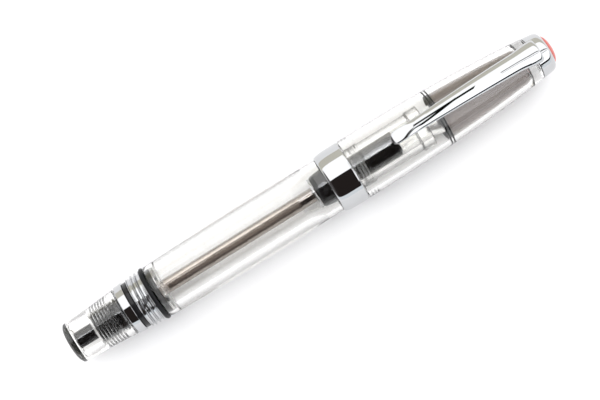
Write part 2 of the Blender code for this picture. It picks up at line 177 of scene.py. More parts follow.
def turned_ring(build, station, radius, segments, relief):
    """A ring of vertices about the axis, or a single vertex on it."""
    if radius < TINY:
        return [build.verts.new(place(station))]
    ring = []
    for index in range(segments):
        turn = index / segments
        reach = radius
        if relief:
            reach += relief(station, turn, radius)
        angle = 2 * math.pi * turn
        ring.append(build.verts.new(place(station, reach * math.sin(angle),
                                          reach * math.cos(angle))))
    return ring


def bridge_rings(build, first, second, segments):
    """Faces between two neighbouring rings, either of which may be a single vertex."""
    for index in range(segments):
        following = (index + 1) % segments
        corners = []
        for ring, order in ((first, (index, following)), (second, (following, index))):
            if len(ring) == 1:
                corners.append(ring[0])
            else:
                corners.extend(ring[vertex] for vertex in order)
        if len(set(corners)) > 2:
            build.faces.new(corners)


def lathe(name, profile, material, body, nodes=(), relief=None, segments=SEGMENTS):
    """Turn (station, radius) points about the axis.

    A profile that starts and ends on the axis makes a solid; any other is a closed ring.
    relief(station, turn, radius) adds to the radius, with the turn from 0 to 1.
    """
    item = new_item(name)
    build = bmesh.new()
    rings = [turned_ring(build, station, radius, segments, relief)
             for station, radius in profile]
    if profile[0][1] > TINY or profile[-1][1] > TINY:
        rings.append(rings[0])
    for first, second in zip(rings, rings[1:]):
        bridge_rings(build, first, second, segments)
    finish_piece(item, build, material, body, nodes)


def o_ring(name, station, mean_radius, wire, body, nodes):
    """A black rubber ring of round section."""
    profile = []
    for index in range(14):
        angle = -2 * math.pi * index / 14
        profile.append((station + wire * math.cos(angle), mean_radius + wire * math.sin(angle)))
    lathe(name, profile, RUBBER, body, nodes)


def loft(name, rings, material, body, nodes=()):
    """Skin a row of rings with equal counts of points, and close both ends."""
    item = new_item(name)
    build = bmesh.new()
    rows = [[build.verts.new(point) for point in ring] for ring in rings]
    count = len(rows[0])
    for first, second in zip(rows, rows[1:]):
        for index in range(count):
            following = (index + 1) % count
            build.faces.new((first[index], first[following], second[following], second[index]))
    build.faces.new(rows[0])
    build.faces.new(rows[-1])
    finish_piece(item, build, material, body, nodes)


def thread_relief(start, end, pitch, depth, surface, tolerance=0.4, inner=False):
    """A right-handed helical ridge on one surface, which fades in and out at its ends."""
    sign = -1.0 if inner else 1.0

    def relief(station, turn, radius):
        if not start <= station <= end or abs(radius - surface) > tolerance:
            return 0.0
        phase = (station / pitch - turn) % 1.0
        ridge = max(0.0, 1.0 - abs(phase - 0.5) * 3.0)
        ridge = ridge * ridge * (3 - 2 * ridge)
        fade = min(1.0, (station - start) / (pitch * 0.5), (end - station) / (pitch * 0.5))
        return sign * depth * ridge * max(fade, 0.0)

    return relief


def threaded(start, end, radius, pitch):
    """A finely divided straight run for a thread to be raised on, in either direction."""
    count = max(2, int(abs(end - start) / pitch * 14))
    return [(station, radius) for station in spread(start, end, count)]


# Materials

def new_material(name):
    material = bpy.data.materials.new(name)
    material.use_nodes = True
    tree = material.node_tree
    return material, tree, tree.nodes["Principled BSDF"]


def stretched_noise(tree, scale, stretch, detail=4.0):
    """Noise in the piece's own space, drawn out along the pen by the stretch."""
    where = tree.nodes.new("ShaderNodeTexCoord")
    mapping = tree.nodes.new("ShaderNodeMapping")
    mapping.inputs["Scale"].default_value = stretch
    noise = tree.nodes.new("ShaderNodeTexNoise")
    noise.inputs["Scale"].default_value = scale
    noise.inputs["Detail"].default_value = detail
    tree.links.new(where.outputs["Object"], mapping.inputs["Vector"])
    tree.links.new(mapping.outputs["Vector"], noise.inputs["Vector"])
    return noise


def spread_value(tree, noise, socket, low, high):
    """Map a noise's middle range onto a socket's low and high value."""
    spreader = tree.nodes.new("ShaderNodeMapRange")
    spreader.inputs["From Min"].default_value = 0.3
    spreader.inputs["From Max"].default_value = 0.7
    spreader.inputs["To Min"].default_value = low
    spreader.inputs["To Max"].default_value = high
    tree.links.new(noise.outputs["Fac"], spreader.inputs["Value"])
    tree.links.new(spreader.outputs["Result"], socket)


def add_bump(tree, shader, noise, strength, distance):
    """Raise the surface by the noise; the distance is in metres."""
    bump = tree.nodes.new("ShaderNodeBump")
    bump.inputs["Strength"].default_value = strength
    bump.inputs["Distance"].default_value = distance
    tree.links.new(noise.outputs["Fac"], bump.inputs["Height"])
    tree.links.new(bump.outputs["Normal"], shader.inputs["Normal"])


def vary_colour(tree, shader, noise, dark, light):
    """Blend the base colour from dark to light over a noise's middle range."""
    ramp = tree.nodes.new("ShaderNodeValToRGB")
    ramp.color_ramp.elements[0].position = 0.3
    ramp.color_ramp.elements[0].color = (*dark, 1.0)
    ramp.color_ramp.elements[1].position = 0.7
    ramp.color_ramp.elements[1].color = (*light, 1.0)
    tree.links.new(noise.outputs["Fac"], ramp.inputs["Fac"])
    tree.links.new(ramp.outputs["Color"], shader.inputs["Base Color"])


def clear_plastic(name, tint_dark, tint_light, roughness=(0.0, 0.03)):
    """Polished clear resin: faint flow lines along the pen and hairline polish marks."""
    material, tree, shader = new_material(name)
    shader.inputs["Transmission Weight"].default_value = 1.0
    shader.inputs["IOR"].default_value = 1.49
    shader.inputs["Specular IOR Level"].default_value = 0.3
    flow = stretched_noise(tree, 60.0, (0.4, 2.0, 2.0))
    vary_colour(tree, shader, flow, tint_dark, tint_light)
    marks = stretched_noise(tree, 900.0, (0.06, 1.0, 1.0), 2.0)
    spread_value(tree, marks, shader.inputs["Roughness"], *roughness)
    add_bump(tree, shader, marks, 0.02, 0.00002)
    return material


def metal(name, dark, light, roughness, grain_scale, grain_stretch, bump):
    """Bare or plated metal: a slight cloud of tone, and grain drawn out by its stretch."""
    material, tree, shader = new_material(name)
    shader.inputs["Metallic"].default_value = 1.0
    tone = stretched_noise(tree, 120.0, (0.6, 1.0, 1.0))
    vary_colour(tree, shader, tone, dark, light)
    grain = stretched_noise(tree, grain_scale, grain_stretch)
    spread_value(tree, grain, shader.inputs["Roughness"], *roughness)
    add_bump(tree, shader, grain, bump, 0.00002)
    return material


def solid_plastic(name, dark, light, roughness, bump, scale=500.0, coat=0.0, gloss=0.5):
    """Opaque resin or rubber with a fine moulded grain, and a coat where it is polished."""
    material, tree, shader = new_material(name)
    shader.inputs["IOR"].default_value = 1.5
    shader.inputs["Specular IOR Level"].default_value = gloss
    shader.inputs["Coat Weight"].default_value = coat
    shader.inputs["Coat Roughness"].default_value = 0.04
    tone = stretched_noise(tree, scale * 0.3, (1.0, 1.0, 1.0))
    vary_colour(tree, shader, tone, dark, light)
    grain = stretched_noise(tree, scale, (1.0, 1.0, 1.0))
    spread_value(tree, grain, shader.inputs["Roughness"], *roughness)
    add_bump(tree, shader, grain, bump, 0.00004)
    return material


def smoky_plastic(name):
    """Translucent smoke-brown resin, with drawn-out cloudiness and a polished face."""
    material, tree, shader = new_material(name)
    shader.inputs["IOR"].default_value = 1.5
    shader.inputs["Transmission Weight"].default_value = 0.55
    cloud = stretched_noise(tree, 140.0, (0.25, 1.0, 1.0))
    vary_colour(tree, shader, cloud, (0.33, 0.26, 0.235), (0.48, 0.405, 0.38))
    grain = stretched_noise(tree, 600.0, (0.1, 1.0, 1.0))
    spread_value(tree, grain, shader.inputs["Roughness"], 0.10, 0.22)
    add_bump(tree, shader, grain, 0.05, 0.00003)
    return material


def ground_shaded_plastic(name):
    """The knob's ground end edge: frosted resin with dark and light speckles, coloured near black
    as painted shade for the dark its clear end shows.
    """
    material, tree, shader = new_material(name)
    shader.inputs["IOR"].default_value = 1.49
    shader.inputs["Transmission Weight"].default_value = 0.1
    speckle = stretched_noise(tree, 1400.0, (1.0, 1.0, 1.0))
    # Painted shade: the speckles' near-black colour stands in for the dark seen in the knob's
    # clear end
    vary_colour(tree, shader, speckle, (0.004, 0.004, 0.004), (0.075, 0.072, 0.068))
    spread_value(tree, speckle, shader.inputs["Roughness"], 0.25, 0.5)
    add_bump(tree, shader, speckle, 0.3, 0.0001)
    return material


CLEAR = clear_plastic("clear_resin", (0.955, 0.95, 0.935), (0.99, 0.987, 0.978))
SMOKE = smoky_plastic("smoke_resin")
GROUND_SHADE = ground_shaded_plastic("ground_resin_painted_shade")
CHROME = metal("chrome_plate", (0.485, 0.49, 0.50), (0.525, 0.53, 0.54), (0.0, 0.02),
               800.0, (1.0, 1.0, 1.0), 0.01)
# Partly painted shade: the rod's and nut's steel is darkened overall, standing in for the shade
# they get inside the barrel
SHADED_STEEL = metal("turned_steel_painted_shade", (0.28, 0.25, 0.23), (0.35, 0.32, 0.295), (0.10, 0.15),
              900.0, (4.0, 0.3, 0.3), 0.08)
NIB_STEEL = metal("nib_steel", (0.70, 0.695, 0.685), (0.78, 0.78, 0.77), (0.12, 0.20),
                  900.0, (0.3, 2.0, 2.0), 0.04)
BRIGHT_STEEL = metal("bright_steel", (0.84, 0.83, 0.82), (0.90, 0.89, 0.88), (0.08, 0.16),
                     700.0, (1.0, 1.0, 1.0), 0.03)
BLACK = solid_plastic("black_gloss", (0.008, 0.008, 0.009), (0.015, 0.015, 0.016),
                      (0.05, 0.12), 0.02, gloss=0.3)
FEED_BLACK = solid_plastic("feed_black", (0.014, 0.013, 0.013), (0.026, 0.024, 0.023),
                           (0.18, 0.3), 0.06)
RUBBER = solid_plastic("black_rubber", (0.006, 0.006, 0.007), (0.014, 0.014, 0.015),
                       (0.30, 0.45), 0.12, scale=900.0, gloss=0.12)
SEAL_RUBBER = solid_plastic("seal_rubber", (0.006, 0.006, 0.007), (0.012, 0.012, 0.013),
                            (0.06, 0.12), 0.02, scale=700.0, gloss=0.4)
RED = solid_plastic("red_resin", (0.48, 0.08, 0.066), (0.56, 0.115, 0.095), (0.12, 0.2),
                    0.03, scale=400.0, coat=0.5)


# Outlines shared with the frame

def smooth_step(value, start, end):
    share = min(max((value - start) / (end - start), 0.0), 1.0)
    return share * share * (3 - 2 * share)


def barrel_radius(station):
    """The barrel swells gently outside, and is widest a little forward of its middle."""
    return 7.7 - 0.0005 * (station - 56.0) ** 2


def cap_radius(station):
    """The cap falls away slowly from its band, and faster towards its finial."""
    along = (station - 84.0) / 54.8
    return 8.38 - 2.42 * max(along, 0.0) ** 2.5


def cap_bore(station):
    return cap_radius(station) - 1.4


# Rear end

def make_knob():
    """The clear knob: an end bored round its black plug, a threaded socket and a ground edge
    painted near black as shade.
    """
    outer = [(15.35, 6.45), (15.2, 6.55)]
    outer += [(station, 5.9 + 0.08 * (station - 7.0)) for station in spread(15.0, 7.2, 6)]
    outer += [(7.0, 5.9), (0.07, 5.67), (0.0, 5.4), (-0.45, 4.62), (-0.6, 4.55), (-0.6, 0.0)]
    inner = [(1.1, 0.0), (1.1, 3.2), (1.3, 3.4), (6.8, 3.4), (6.9, 3.6), (7.0, KNOB_SOCKET)]
    inner += threaded(7.4, 13.4, KNOB_SOCKET, KNOB_PITCH)
    inner += [(15.35, KNOB_SOCKET)]
    relief = thread_relief(7.4, 13.4, KNOB_PITCH, 0.15, KNOB_SOCKET, inner=True)
    lathe("clear_knob", outer + inner, CLEAR, "knob", ["knob_shell"], relief)
    plug = 2.25
    core = [(6.4, 0.0), (6.4, plug), (6.1, plug), (1.6, plug), (1.35, plug), (1.2, 2.1),
            (1.2, 0.0)]
    lathe("knob_plug", eased(core), BLACK, "knob", ["knob_core"])
    # The ground edge is coloured near black: painted shade for the dark that the clear end shows
    edge = [(0.05, 5.66), (-0.08, 5.58), (-0.56, 4.82), (-0.6, 4.72), (-0.6, 4.57),
            (-0.43, 4.6), (-0.02, 5.35)]
    lathe("knob_ground_edge_painted_shade", edge, GROUND_SHADE, "knob")


def make_mechanism():
    """The black core: a fine thread for the knob, a smooth relief and a hub in the ring."""
    root = 3.9
    outer = [(24.9, 4.85), (15.6, 4.85), (15.6, 4.6), (14.4, 4.6)]
    outer += threaded(14.1, 7.5, root, KNOB_PITCH)
    outer += [(7.3, 3.7), (7.3, 2.0), (24.9, 2.0)]
    relief = thread_relief(7.5, 14.1, KNOB_PITCH, 0.55, root, tolerance=0.1)
    lathe("mechanism_core", outer, BLACK, "barrel", ["mechanism_body"], relief)


def make_rear_ring():
    """The chromed ring: polished band, deep groove with a black ring laid in as painted shade,
    posting thread and seal groove.
    """
    root = 6.6
    head = eased([(24.95, 5.0), (24.95, 6.9), (24.85, 6.3), (23.75, 6.3), (23.7, 7.12),
                  (23.5, 7.12), (23.4, root)])
    run = threaded(23.4, 19.9, root, POSTING_PITCH)
    tail = eased([(19.9, root), (19.85, 7.0), (19.7, 7.0), (19.5, 5.9), (18.25, 5.9),
                  (18.2, 6.9), (16.05, 6.8), (15.9, 6.6), (15.9, 5.0)], 0.08)
    relief = thread_relief(19.9, 23.4, POSTING_PITCH, 0.62, root, tolerance=0.05)
    lathe("rear_ring", head + run[1:-1] + tail, CHROME, "barrel", ["rear_bush"],
          relief)
    # A black ring over the deep groove's chrome floor: painted shade for the groove
    groove = [(19.45, 5.95), (19.45, 6.55), (18.3, 6.55), (18.3, 5.95)]
    lathe("groove_shade_ring", eased(groove, 0.2), BLACK, "barrel")
    o_ring("posting_seal", 24.32, 6.95, 0.54, "barrel", ["posting_o_ring"])


def make_gland():
    """The rubber gland at the chamber's rear, its bright plate and the clear washer."""
    body = [(26.6, 2.02), (26.6, 6.25), (25.25, 6.25), (25.25, 2.02)]
    lathe("gland_block", eased(body), RUBBER, "barrel", ["gland", "rod_o_ring"])
    plate = [(26.72, 2.1), (26.72, 6.2), (26.62, 6.2), (26.62, 2.1)]
    lathe("gland_plate", plate, BRIGHT_STEEL, "barrel")
    washer = [(27.5, 2.8), (27.5, 6.15), (26.8, 6.15), (26.8, 2.4)]
    lathe("chamber_washer", eased(washer), CLEAR, "barrel", ["gland_retainer"])


def make_barrel():
    """The clear barrel: a straight bore, then one plain cone out to the front's thin wall.

    The rings just before and after the cone keep its smooth shading off the straight walls.
    """
    outer = [(84.6, 6.5), (84.5, 6.55), (77.6, 6.55), (77.5, 7.2), (77.35, 7.42)]
    outer += [(station, barrel_radius(station)) for station in (77.3, 77.2)]
    outer += [(station, barrel_radius(station)) for station in spread(77.0, 25.4, 40)]
    outer += [(25.22, barrel_radius(25.4) - 0.12), (25.2, 6.5)]
    bore = [(25.2, 6.4), (28.0, 6.4)]
    bore += [(station, BARREL_BORE) for station in (28.1, 28.4, 68.1, 68.4)]
    bore += [(72.7, 6.2), (73.0, 6.2), (77.2, 6.2), (78.0, 5.9), (84.6, 5.9)]
    lathe("clear_barrel", outer + eased(bore), CLEAR, "barrel", ["barrel"])


# Plunger

def make_plunger():
    """The rod with its thinner neck, and the washer, lip seal and nut on it."""
    neck = 1.33
    hole = 1.48
    lip = 4.84
    rod = [(80.8, 0.0), (80.8, 1.2), (80.6, neck), (72.3, neck)]
    rod += [(station, ROD) for station in (72.2, 71.9, 7.8, 7.5)]
    rod += [(7.3, 1.8), (7.3, 0.0)]
    lathe("plunger_rod", eased(rod), SHADED_STEEL, "plunger", ["plunger_rod"])
    washer = [(73.25, hole), (73.25, 4.2), (72.65, 4.2), (72.65, hole)]
    lathe("seal_washer", eased(washer), CHROME, "plunger", ["piston_washer"])
    seal = [(79.2, hole), (79.2, 3.9), (78.2, lip), (77.5, lip)]
    seal += [(station, lip - 0.14 * (77.3 - station)) for station in spread(77.3, 73.9, 8)]
    seal += [(73.8, 4.3), (73.4, 4.0), (73.4, hole)]
    lathe("piston_seal", seal, SEAL_RUBBER, "plunger", ["piston_seal"])
    nut = [(80.2, hole), (80.2, 2.4), (79.8, 2.75), (79.35, 2.78), (79.35, hole)]
    lathe("rod_nut", eased(nut), SHADED_STEEL, "plunger", ["piston_nut"], segments=48)


# Section, feed and nib

def make_section():
    """The clear grip: tail and seal groove, cap thread, waisted grip and a stepped lip."""
    crest = 5.6
    outer = [(106.5, 5.45), (106.3, 5.7), (103.3, 5.7), (103.05, 5.62), (103.0, 5.4)]
    for station in spread(102.7, 88.6, 14):
        waist = (station - 95.65) / 7.05
        outer.append((station, 5.36 + 0.04 * waist ** 4))
    outer += [(88.5, 5.4), (88.42, 5.7), (87.9, 5.7)]
    thread = threaded(87.8, 85.2, crest, CAP_PITCH)
    tail = [(85.0, crest), (84.95, 5.55), (83.9, 5.55), (83.85, 5.05), (82.75, 5.05),
            (82.7, 5.75), (80.2, 5.75)]
    bore = [(80.2, 4.55), (82.4, 2.0), (84.3, 2.0), (84.35, 3.7), (106.1, 3.7), (106.3, 3.7),
            (106.5, 3.8)]
    relief = thread_relief(85.2, 87.8, CAP_PITCH, 0.2, crest, tolerance=0.02)
    profile = outer + thread + eased(tail, 0.1) + bore
    lathe("clear_grip", profile, CLEAR, "barrel", ["section"], relief)


def make_grip_fittings():
    """Two fine dark seams round the grip's lip, its tail's seal, and the nib's black sleeve."""
    for name, station in (("lip_seam", 103.15), ("end_seam", 106.3)):
        seam = [(station + 0.14, 5.3), (station + 0.14, 5.76), (station, 5.76), (station, 5.3)]
        lathe(name, seam, FEED_BLACK, "barrel")
    o_ring("section_seal", 83.3, 5.45, 0.36, "barrel", ["section_o_ring"])
    housing = [(97.6, 2.86), (97.6, 3.4)]
    housing += [(station, SLEEVE) for station in (97.45, 97.2, 84.9, 84.6)]
    housing += [(84.6, 2.86)]
    lathe("nib_sleeve", eased(housing), BLACK, "barrel", ["nib_housing"])


def nib_crest(station):
    """Height of the nib's middle line over the axis, which drops towards the point."""
    along = max(station - NIB_HEEL, 0.0)
    drop = max(station - NIB_BEND, 0.0) / (NIB_POINT - NIB_BEND)
    return NIB_RADIUS - 0.025 * along - 0.9 * drop ** 1.8


def round_ring(station, radius, height):
    points = []
    for index in range(32):
        angle = 2 * math.pi * (index + 0.5) / 32
        points.append(place(station, radius * math.sin(angle),
                            height + radius * math.cos(angle)))
    return points


def make_feed():
    """The ink feed: plain shank, a comb of thin fins, and a tongue that follows the nib."""
    rings = [round_ring(84.8, 2.6, 0.0), round_ring(85.0, 2.7, 0.0), round_ring(106.6, 2.7, 0.0)]
    for index in range(FIN_COUNT):
        foot = FIN_START + index * FIN_PITCH
        for offset, radius, height in ((0.0, 2.2, -0.3), (0.12, 2.62, -0.08), (0.5, 2.62, -0.08),
                                       (0.62, 2.2, -0.3)):
            rings.append(round_ring(foot + offset, radius, height))
    tongue = FIN_START + FIN_COUNT * FIN_PITCH + 0.2
    for station in spread(tongue, FEED_END, 10):
        along = (station - tongue) / (FEED_END - tongue)
        radius = 2.2 * (1 - along) ** 0.8 + 0.35 * along
        rings.append(round_ring(station, radius, nib_crest(station) - 0.6 - radius))
    loft("ink_feed", rings, FEED_BLACK, "barrel", ["feed"])


def nib_half_width(station):
    """Half the sheet's width round its curve: a tube, then shoulders, then a taper."""
    if station <= NIB_BEND:
        return NIB_RADIUS
    if station <= NIB_SHOULDER:
        opened = (station - NIB_BEND) / (NIB_SHOULDER - NIB_BEND)
        return NIB_RADIUS + 1.2 * math.sin(opened * math.pi / 2)
    along = (station - NIB_SHOULDER) / (NIB_POINT - NIB_SHOULDER)
    return 0.33 + 3.92 * (1 - along ** 1.15)


def nib_point(station, share):
    """A point of the nib's under face; share runs from -1 to 1 across it."""
    width = nib_half_width(station)
    opened = min(max(station - NIB_BEND, 0.0) / (NIB_SHOULDER - NIB_BEND), 1.0)
    radius = NIB_RADIUS + 2.1 * opened
    angle = math.asin(min(width / radius, 1.0)) * share
    return place(station, radius * math.sin(angle),
                 nib_crest(station) - radius * (1 - math.cos(angle)))


def nib_stations():
    """Rows of the sheet: close at its cut heel, as it opens, and round the breather hole."""
    stations = [NIB_HEEL, NIB_HEEL + 0.06, 101.0, 104.0]
    stations += spread(NIB_BEND, 115.0, 14)
    stations += spread(115.3, 117.1, 6)
    stations += spread(117.6, 130.8, 26)
    return stations


def clear_of_hole(station, share):
    """Move the columns beside the slit out to the rim of the breather hole."""
    inside = 1 - ((station - HOLE_MIDDLE) / HOLE_HALF) ** 2
    if inside <= 0 or abs(share) > HOLE_COLUMN:
        return share
    rim = HOLE_WIDTH * math.sqrt(inside) / nib_half_width(station)
    return math.copysign(max(abs(share), rim), share)


def skin_nib(build):
    """The sheet's faces, left open along the slit from the breather hole to the point."""
    shares = [-share for share in reversed(NIB_COLUMNS)] + NIB_COLUMNS
    stations = nib_stations()
    grid = [[build.verts.new(nib_point(station, clear_of_hole(station, share)))
             for share in shares] for station in stations]
    slit = len(NIB_COLUMNS) - 1
    for index in range(len(grid) - 1):
        centre = (stations[index] + stations[index + 1]) / 2
        for column in range(len(shares) - 1):
            if column == slit and centre > HOLE_MIDDLE - HOLE_HALF:
                continue
            build.faces.new((grid[index][column], grid[index + 1][column],
                             grid[index + 1][column + 1], grid[index][column + 1]))


def make_nib():
    """The nib: a bent sheet with a breather hole and a slit to the point."""
    item = new_item("nib_sheet")
    build = bmesh.new()
    skin_nib(build)
    bmesh.ops.remove_doubles(build, verts=build.verts, dist=TINY)
    bmesh.ops.recalc_face_normals(build, faces=build.faces)
    build.faces.ensure_lookup_table()
    if build.faces[0].normal.z < 0:
        bmesh.ops.reverse_faces(build, faces=build.faces)
    sheet = item.modifiers.new("sheet", "SOLIDIFY")
    sheet.thickness = NIB_THICKNESS * MM
    sheet.offset = 1.0
    dress_piece(item, build, NIB_STEEL, "barrel", ["nib"])


def make_nib_pellet():
    """The bead of hard tipping under the nib's point."""
    height = nib_crest(130.6) + 0.05
    rings = []
    for step in range(9):
        angle = math.pi * step / 8
        station = 130.45 + 0.62 * (1 - math.cos(angle)) / 2
        rings.append(round_ring(station, max(0.36 * math.sin(angle), 0.02), height))
    loft("nib_pellet", rings, NIB_STEEL, "barrel")


# Cap

def make_cap():
    """The clear cap: blind tapering tube, thread in its mouth, spigot for the collar."""
    outer = [(142.4, 0.0)]
    outer += eased([(142.4, 0.5), (142.4, 4.15), (138.8, 4.15), (138.8, cap_radius(138.8))])
    outer += [(station, cap_radius(station)) for station in spread(138.6, 84.8, 44)]
    outer += eased([(84.75, 8.3), (84.7, 8.2), (84.7, 7.3), (77.6, 7.3), (77.6, CAP_MOUTH),
                    (85.0, CAP_MOUTH)], 0.1)
    inner = threaded(85.0, 88.0, CAP_MOUTH, CAP_PITCH)
    inner += [(station, cap_bore(station)) for station in spread(88.4, 135.6, 36)]
    inner += [(136.0, cap_bore(136.0) - 0.2), (136.2, cap_bore(136.2) - 0.6), (136.2, 0.0)]
    relief = thread_relief(85.0, 88.0, CAP_PITCH, 0.05, CAP_MOUTH, tolerance=0.01, inner=True)
    lathe("clear_cap", outer + inner, CLEAR, "cap", ["cap_tube"], relief)


def make_band():
    """The plain cap band: straight, with a long quarter-round towards the barrel."""
    radius = 8.39
    edge = 7.74
    outer = [(84.5, 7.45), (84.5, 8.2), (84.42, 8.31), (84.25, radius)]
    outer += [(84.1, radius), (82.0, radius)]
    for step in range(15):
        angle = math.radians(90 + 90 * step / 14)
        outer.append((80.9 + 3.6 * math.cos(angle), edge + (radius - edge) * math.sin(angle)))
    outer += [(77.3, 7.5), (77.35, 7.45)]
    lathe("chrome_band", outer, CHROME, "cap", ["cap_band"], segments=FINE_SEGMENTS)


def make_collar():
    """The chromed collar that carries on the cap's outline, and the red disc domed in it."""
    outer = [(143.2, 4.3), (143.2, 4.75), (143.05, 4.95), (142.7, 5.3)]
    outer += [(station, cap_radius(station) - 0.02) for station in spread(142.0, 139.05, 6)]
    outer += [(138.95, cap_radius(138.95) - 0.15), (138.95, 4.3)]
    lathe("chrome_collar", outer, CHROME, "cap", ["clip_collar"],
          segments=FINE_SEGMENTS)
    disc = [(142.7, 0.0), (142.7, 4.0), (143.3, 4.05)]
    for step in range(1, 13):
        angle = math.radians(90 * step / 12)
        disc.append((143.3 + 1.38 * math.sin(angle), 4.05 * math.cos(angle) ** 0.8))
    disc[-1] = (144.68, 0.0)
    lathe("red_disc", disc, RED, "cap", ["finial_disc"])


def liner_radius(station):
    return cap_bore(station) - 0.15


def make_liner():
    """The smoky inner cap that closes round the nib."""
    outer = [(135.8, 0.0), (135.8, liner_radius(135.8) - 0.9), (135.5, liner_radius(135.5) - 0.3)]
    outer += [(station, liner_radius(station)) for station in spread(135.0, 111.2, 24)]
    outer += [(111.0, liner_radius(111.0) - 0.12)]
    inner = [(station, liner_radius(station) - 0.5) for station in spread(111.0, 134.6, 20)]
    inner += [(135.1, liner_radius(135.1) - 0.9), (135.3, liner_radius(135.3) - 1.5),
              (135.3, 0.0)]
    lathe("smoke_liner", outer + inner, SMOKE, "cap_liner", ["inner_cap"])


def make_liner_seal():
    """The inner cap's seal, whose two lips press into the cap's wall.

    It has its own count of segments, so that its facets don't line up with the wall's.
    """
    seal = [(110.95, 6.35), (110.95, cap_bore(110.9)), (110.85, cap_bore(110.8) + 0.12),
            (110.55, cap_bore(110.6) + 0.12), (110.45, cap_bore(110.4) - 0.25),
            (110.2, cap_bore(110.2) - 0.25), (110.1, cap_bore(110.1) + 0.12),
            (109.8, cap_bore(109.8) + 0.12), (109.7, cap_bore(109.7)), (109.7, 6.35)]
    lathe("liner_seal", seal, RUBBER, "cap_liner", ["inner_cap_o_ring"],
          segments=100)


def clip_top(station):
    """Height of the clip's crest: a spoon at the tip, then a long fall towards the collar."""
    if station < CLIP_SPOON_END:
        dip = (CLIP_SPOON_END - station) / (CLIP_SPOON_END - CLIP_TIP + 0.1)
        return CLIP_CREST - 1.05 * (1 - math.sqrt(max(1 - dip ** 2, 0.0)))
    return CLIP_CREST - 2.85 * ((station - CLIP_SPOON_END) / 37.6) ** 2.4


def clip_half_width(station):
    """Half the clip's width: a rounded tip, a spoon, a slow widening, and a flare at the root."""
    spoon = 1.62 + 0.1 * math.exp(-((station - 98.6) / 1.2) ** 2)
    width = spoon + 1.2 * max((station - 99.0) / 41.6, 0.0) ** 0.9
    width += 0.4 * smooth_step(station, 133.5, 138.5)
    tip = max(1 - (station - CLIP_TIP) / 1.6, 0.0)
    return max(width * math.sqrt(max(1 - tip ** 2, 0.0)), 0.15)


def clip_ring(station, end_share, columns=24):
    """A strip with an arched face, flat at the spoon, that thickens to a hood at the collar."""
    width = clip_half_width(station) * (0.8 + 0.2 * end_share)
    skew = math.tan(CLIP_SKEW) * (station - CLIP_ROOT)
    top = clip_top(station) - 0.5 * (1 - end_share)
    arch = CLIP_FLAT + (CLIP_ARCH - CLIP_FLAT) * smooth_step(station, 99.2, 104.8)
    bend = width / math.sin(arch)
    depth = max(CLIP_DEPTH, bend * (1 - math.cos(arch)) + 0.3)
    hood = smooth_step(station, 134.0, 139.0)
    lower = []
    upper = []
    for column in range(columns + 1):
        share = -math.cos(math.pi * column / columns)
        side = width * share
        crown = top - bend + math.sqrt(max(bend ** 2 - side ** 2, 0.0))
        edge = 0.12 * max(abs(share) - 0.94, 0.0) / 0.06
        skin = math.sqrt(cap_radius(station) ** 2 - side ** 2) + 0.14
        under = max(top - depth, skin)
        under = min(under * (1 - hood) + skin * hood, crown - 0.2)
        lower.append(place(station, side * 0.985 - skew, under))
        upper.append(place(station, side - skew, crown - edge))
    return lower + list(reversed(upper))


def make_clip():
    """The clip: close rings round its tip, an even run, and a rounded end at its root."""
    stations = [CLIP_TIP + 1.7 * (1 - math.cos(math.pi / 2 * step / 12)) for step in range(13)]
    stations += spread(CLIP_TIP + 2.0, CLIP_ROOT - 1.0, 80)
    rings = [clip_ring(station, 1.0) for station in stations]
    for step in range(1, 8):
        angle = math.pi / 2 * step / 7
        rings.append(clip_ring(CLIP_ROOT - 1.0 + math.sin(angle), math.cos(angle)))
    loft("chrome_clip", rings, CHROME, "clip", ["clip"])


# Studio: the panels' colours, some of them brighter than white
WALL = (0.95, 0.92, 0.80)
BANK = (2.0, 2.0, 2.0)
EDGE_GLOW = (7.0, 7.2, 7.6)
SEAM = (0.01, 0.01, 0.01)
DIM = (0.15, 0.15, 0.15)
OPEN_END = (0.12, 0.11, 0.11)
ROOF = (0.03, 0.024, 0.022)
PALE = (1.23, 1.29, 1.33)
BRIGHT = (2.2, 2.22, 2.25)
LAMP = (4.0, 4.0, 4.0)
SHADE = (0.62, 0.55, 0.50)
DEEP_SHADE = (0.22, 0.19, 0.17)

# The tent's panels, as (degrees round the pen from the camera's side, colour). Each sky starts
# at its own lean towards the cap, which is the X part of a direction.
OPEN_SKIES = [
    (-1.0, [(-180, WALL), (-70, BANK), (-10, ROOF), (64, PALE)]),
    (0.097, [(-180, WALL), (-62, BANK), (4, BRIGHT), (46, SEAM), (64, PALE)]),
    (0.36, [(-180, WALL), (-62, BANK), (-13, SEAM), (-8, BANK), (1, DIM), (4, BRIGHT),
            (48, SEAM), (58, PALE)])]
# What rays see once they have passed through a clear wall. No real studio would do this: the
# panels are fitted, because one set didn't suit both the outer mirrors and the inner pieces.
INNER_SKIES = [
    (-1.0, [(-180, PALE)]),
    (-0.5, [(-180, WALL), (-70, BANK), (-19, EDGE_GLOW), (-10, ROOF), (64, PALE)]),
    (-0.31, [(-180, WALL), (-86, LAMP), (-77, ROOF), (-38, LAMP), (-30, ROOF), (12, BANK),
             (17, ROOF), (84, PALE)]),
    (-0.235, [(-180, WALL), (-70, BANK), (-19, EDGE_GLOW), (-10, ROOF), (64, PALE)]),
    (-0.077, [(-180, WALL), (-85, BANK), (-70, LAMP), (-36, SHADE), (36, DEEP_SHADE),
              (78, SHADE)]),
    (-0.006, [(-180, WALL), (-74, ROOF), (64, PALE)]),
    (0.03, [(-180, WALL), (-70, BANK), (-24, EDGE_GLOW), (-11, ROOF), (64, PALE)]),
    (0.1, [(-180, WALL), (-62, BANK), (4, BRIGHT), (80, PALE)])]
# The soft light that the floor gets, brighter on the bank's side
AVERAGE_SKY = [(-180, (1.6, 1.6, 1.6)), (0, (1.3, 1.3, 1.32))]
